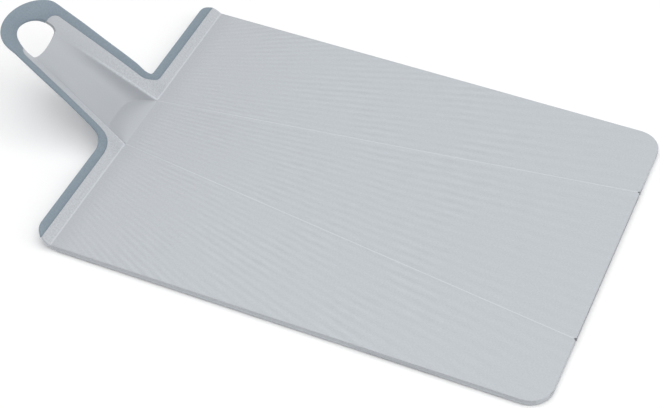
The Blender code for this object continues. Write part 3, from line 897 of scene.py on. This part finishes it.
def middleSheet():  # the middle board, which runs on into the ramp
    bm = bmesh.new()
    shares = [-1, -0.985, -0.95, -0.9, -0.8, -0.68, -0.55, -0.42, -0.28, -0.14, 0]
    shares += [-k for k in reversed(shares[:-1])]
    length = board["length"]
    stations = [-length, -length + 0.8, -length + hinge["nickDepth"]]
    stations += [-length + (length - 6) * i / 12 for i in range(1, 13)] + [-3, -1, 0]
    rungs = [[(s, (ridgeAt(s) - slotAt(s)) * k) for k in shares] for s in stations]
    ends = [(rampReach(abs(w)) + handle["rampOverlap"], w) for _, w in rungs[-1]]
    rungs += [[(s * i / 8, w) for s, w in ends] for i in range(1, 9)]
    addPatch(bm, rungs)
    thicken(bm, board["thickness"])

    def byHinge(a, b):
        return max(a.co.x, b.co.x) < 0.01 and abs(a.co.x - b.co.x) > 0.5

    roundEdges(bm, hinge["edgeRound"], 2, byHinge)
    roundEdges(bm, board["edgeRound"], 3, lambda a, b: max(a.co.x, b.co.x) < 0.5 - length)
    for v in bm.verts:
        if v.co.x < 0.01:
            near = ridgeAt(v.co.x) - slotAt(v.co.x) - abs(v.co.y)
            v.co.y -= math.copysign(underCut(v, near), v.co.y)
    return bm


middle = finishPiece(middleSheet(), "middleBoard", layFlat, middlePlastic)
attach(middle, "centre")
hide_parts("centre_panel")


def hingeStrip():  # a living hinge, a thin strip that bends between two boards
    bm = bmesh.new()
    reach = hinge["slot"] + hinge["overlap"]
    first, last, count = hinge["nickDepth"] - board["length"], -0.3, 24
    rungs = []
    for s, _ in line((first, 0), (last, 0), count):
        rungs.append([(s, ridgeAt(s) + reach * k / 3) for k in range(-3, 4)])
    addPatch(bm, rungs)
    thicken(bm, hinge["web"])
    for v in bm.verts:
        v.co.z -= hinge["sunk"]
    return bm


hingeLength = math.hypot(1, hingeLean)
halfSlot = Vector((-hingeLean / hingeLength, 1 / hingeLength, 0)) * (hinge["slot"] * mm)
for side, word in sides:
    strip = finishPiece(hingeStrip(), word + "Hinge", layFlat, hingePlastic, side)
    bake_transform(strip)
    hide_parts(word + "_hinge_web")
print("middle board and hinges made")


def rimSection(width, crown, small):  # (distance from the outer edge, n), once round from underneath
    top, low = rim["proud"], -handle["thickness"] - rim["proudUnder"]
    middle, half = (top + low) / 2, (top - low) / 2
    edge = top - crown
    big = min(rim["outerRound"], width * 0.4)
    section = []
    for k in range(11):  # round the outer edge
        turn = math.radians(-90 + 180 * k / 10)
        height = half if turn < 0 else edge - middle
        section.append((big - big * math.cos(turn), middle + height * math.sin(turn)))
    for k in range(1, 6):  # over the crowned face
        share = k / 6
        lift = crown * math.sin(math.pi * (0.15 + 0.7 * share))
        section.append((big + (width - small - big) * share, edge + lift))
    turns = [math.radians(90 * k / 4) for k in range(5)]  # over the inner edge and under it
    section += [(width - small + small * math.sin(t), edge - small * (1 - math.cos(t))) for t in turns]
    section += [(width - small + small * math.cos(t), low + small * (1 - math.sin(t))) for t in turns]
    section += [(width * k, low) for k in (0.7, 0.45)]
    return section + section[:1]


def rimBand():  # half of the soft rim, moulded round the shoulder, the notch, the handle and the tip
    bm = bmesh.new()
    shellSteps = sum(rimSteps[part] for part in ("corner", "shoulder", "notch", "side"))
    rungs = []
    for index, (a, b) in enumerate(zip(outerEdge(), innerEdge())):
        width = math.dist(a, b)
        toHole = easeIn(b[0] - hole["shellEnd"], *rim["holeRoundRun"]) if index > shellSteps else 0.0
        small = min(rim["innerRound"] + (rim["holeRound"] - rim["innerRound"]) * toHole, width * 0.2)
        crown = rim["crown"] * min(width / rim["width"], 1.0)
        section = rimSection(width, crown, small)
        rungs.append([(*between(a, b, d / width), n) for d, n in section])
    addPatch(bm, rungs)
    weld(bm, 0.0005)
    ends = [e for e in bm.edges if e.is_boundary]
    bmesh.ops.holes_fill(bm, edges=ends, sides=60)
    return bm


for side, word in sides:
    band = finishPiece(rimBand(), word + "Rim", foldRim, softRim, side, 50)
    giveWay(band)
    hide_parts(word + "_rim_corner", word + "_shoulder_rim", "handle_rim")
print("soft rim made")

for name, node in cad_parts.items():  # the feet keep their CAD shape
    if name.endswith("_foot"):
        node.data.materials.clear()
        node.data.materials.append(rubberFoot)
print("feet finished")


studio = {
    "floor": {"ior": 1.3, "tone": (0.958, 0.958, 0.958), "roughness": 0.9, "size": 6.0},
    "sky": 0.4,
    "lights": {  # power, size and place
        "topLight": (20.0, 2.0, (0.0, 0.0, 1.8)),
        "backLight": (3.1, 1.4, (0.0, 1.6, 0.35)),
        "frontLight": (4.4, 1.2, (0.9, -0.9, 1.2)),
        "rightLight": (4.4, 1.2, (1.3, 0.3, 1.0)),
        "leftLight": (3.6, 1.0, (-1.4, -0.2, 0.45)),
        "nearLight": (0.8, 1.0, (-0.1, -1.4, 0.45)),
    },
}
camera = {
    "place": (creaseX + 507.8, -846.3, boardTop + 901.5),
    "turn": (44.75, -0.208, 23.136),  # degrees
    "focalPixels": 1821.3,  # focal length in pixels of a picture this wide
    "width": 660,
    "sensor": 36.0,
    "farthest": 50.0,
}


def makeFloor(look):
    finish = Finish("paleFloor", look, flat=False)
    finish.plug(finish.shader.inputs["Base Color"], (*look["tone"], 1))
    finish.plug(finish.shader.inputs["Roughness"], look["roughness"])
    bm = bmesh.new()
    bmesh.ops.create_grid(bm, x_segments=1, y_segments=1, size=look["size"])
    mesh = bpy.data.meshes.new("studioFloor")
    bm.to_mesh(mesh)
    bm.free()
    mesh.materials.append(finish.material)
    floor = bpy.data.objects.new("studioFloor", mesh)
    scene.collection.objects.link(floor)
    return floor


def areaLight(name, power, size, place):
    lamp = bpy.data.lights.new(name, "AREA")
    lamp.shape = "SQUARE"
    lamp.energy, lamp.size = power, size
    holder = bpy.data.objects.new(name, lamp)
    scene.collection.objects.link(holder)
    holder.location = place
    holder.rotation_euler = (-Vector(place)).to_track_quat("-Z", "Y").to_euler()


floor = makeFloor(studio["floor"])
for name, (power, size, place) in studio["lights"].items():
    areaLight(name, power, size, place)
world = bpy.data.worlds.new("studioSky")
world.use_nodes = True
world.node_tree.nodes["Background"].inputs["Color"].default_value = (1, 1, 1, 1)
world.node_tree.nodes["Background"].inputs["Strength"].default_value = studio["sky"]
scene.world = world

lens = bpy.data.cameras.new("photoCamera")
lens.sensor_width = camera["sensor"]
lens.lens = camera["focalPixels"] / camera["width"] * camera["sensor"]
lens.clip_end = camera["farthest"]
eye = bpy.data.objects.new("photoCamera", lens)
scene.collection.objects.link(eye)
eye.location = Vector(camera["place"]) * mm
eye.rotation_euler = [math.radians(a) for a in camera["turn"]]
scene.camera = eye
print("floor, light and camera set")
